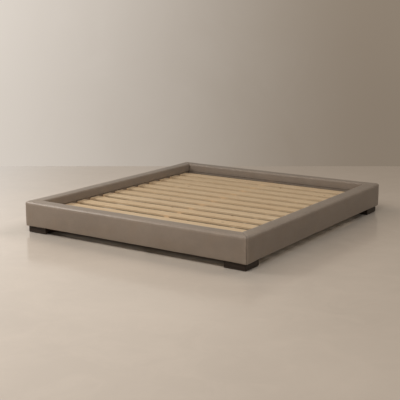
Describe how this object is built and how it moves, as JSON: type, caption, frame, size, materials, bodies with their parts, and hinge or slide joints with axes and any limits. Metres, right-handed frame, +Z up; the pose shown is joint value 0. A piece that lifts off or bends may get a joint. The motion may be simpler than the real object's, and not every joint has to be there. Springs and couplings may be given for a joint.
{
  "type": "bed base",
  "caption": "Low upholstered bed base with mitred leather rails round a recessed well, a slatted deck, block feet and levelling centre legs.",
  "frame": {"origin": "on the floor under the middle of the base", "axes": "+Z up, +Y along the bed from the foot end to the head end, +X across the bed"},
  "size_m": [2.016, 2.23, 0.246],
  "materials": {
    "leather": "smooth taupe leather with a fine grain and a soft sheen",
    "foam": "open-cell foam",
    "plywood": "birch plywood, sanded",
    "pine": "planed pine, untreated",
    "stained_wood": "dark stained wood, satin",
    "felt": "dense grey-brown felt",
    "dust_cloth": "black non-woven cloth",
    "webbing": "undyed woven tape",
    "black_steel": "black powder coat, fine texture",
    "zinc_steel": "bright zinc plating",
    "black_plastic": "black moulded nylon"
  },
  "bodies": {
    "base": {"front_leather_cover": "leather", "front_foam_wrap": "foam", "front_outer_board": "plywood", "front_inner_board": "plywood", "front_top_board": "plywood", "front_end_blocks": "pine", "right_leather_cover": "leather", "right_foam_wrap": "foam", "right_outer_board": "plywood", "right_inner_board": "plywood", "right_top_board": "plywood", "right_end_blocks": "pine", "back_leather_cover": "leather", "back_foam_wrap": "foam", "back_outer_board": "plywood", "back_inner_board": "plywood", "back_top_board": "plywood", "back_end_blocks": "pine", "left_leather_cover": "leather", "left_foam_wrap": "foam", "left_outer_board": "plywood", "left_inner_board": "plywood", "left_top_board": "plywood", "left_end_blocks": "pine", "dust_strips": "dust_cloth", "back_right_foot": "stained_wood", "back_left_foot": "stained_wood", "front_left_foot": "stained_wood", "front_right_foot": "stained_wood", "felt_pads": "felt", "corner_brackets": "black_steel", "corner_bolts": "zinc_steel", "foot_bolts": "zinc_steel", "threaded_inserts": "zinc_steel", "slat_01": "pine", "slat_02": "pine", "slat_03": "pine", "slat_04": "pine", "slat_05": "pine", "slat_06": "pine", "slat_07": "pine", "slat_08": "pine", "slat_09": "pine", "slat_10": "pine", "slat_11": "pine", "slat_12": "pine", "slat_tapes": "webbing", "left_ledger": "pine", "right_ledger": "pine", "centre_beam": "pine", "front_beam_hanger": "black_steel", "back_beam_hanger": "black_steel", "front_centre_leg": "black_steel", "back_centre_leg": "black_steel", "long_screws": "zinc_steel", "short_screws": "zinc_steel"},
    "front_pad": {"front_levelling_pad": "black_plastic"},
    "front_stem": {"front_levelling_stem": "zinc_steel"},
    "back_pad": {"back_levelling_pad": "black_plastic"},
    "back_stem": {"back_levelling_stem": "zinc_steel"}
  },
  "joints": [
    {"name": "front_pad_travel", "type": "slide", "parent": "base", "child": "front_pad", "axis": [0, 0, 1], "range_m": [0, 0.012]},
    {"name": "front_stem_turn", "type": "hinge", "parent": "front_pad", "child": "front_stem", "pos_m": [0, -0.338, 0.02], "axis": [0, 0, 1], "range_deg": [0, 2880]},
    {"name": "back_pad_travel", "type": "slide", "parent": "base", "child": "back_pad", "axis": [0, 0, 1], "range_m": [0, 0.012]},
    {"name": "back_stem_turn", "type": "hinge", "parent": "back_pad", "child": "back_stem", "pos_m": [0, 0.338, 0.02], "axis": [0, 0, 1], "range_deg": [0, 2880]}
  ],
  "couplings": [
    {"joint": "front_stem_turn", "follows": "front_pad_travel", "rad_per_m": 4188.8},
    {"joint": "back_stem_turn", "follows": "back_pad_travel", "rad_per_m": 4188.8}
  ]
}
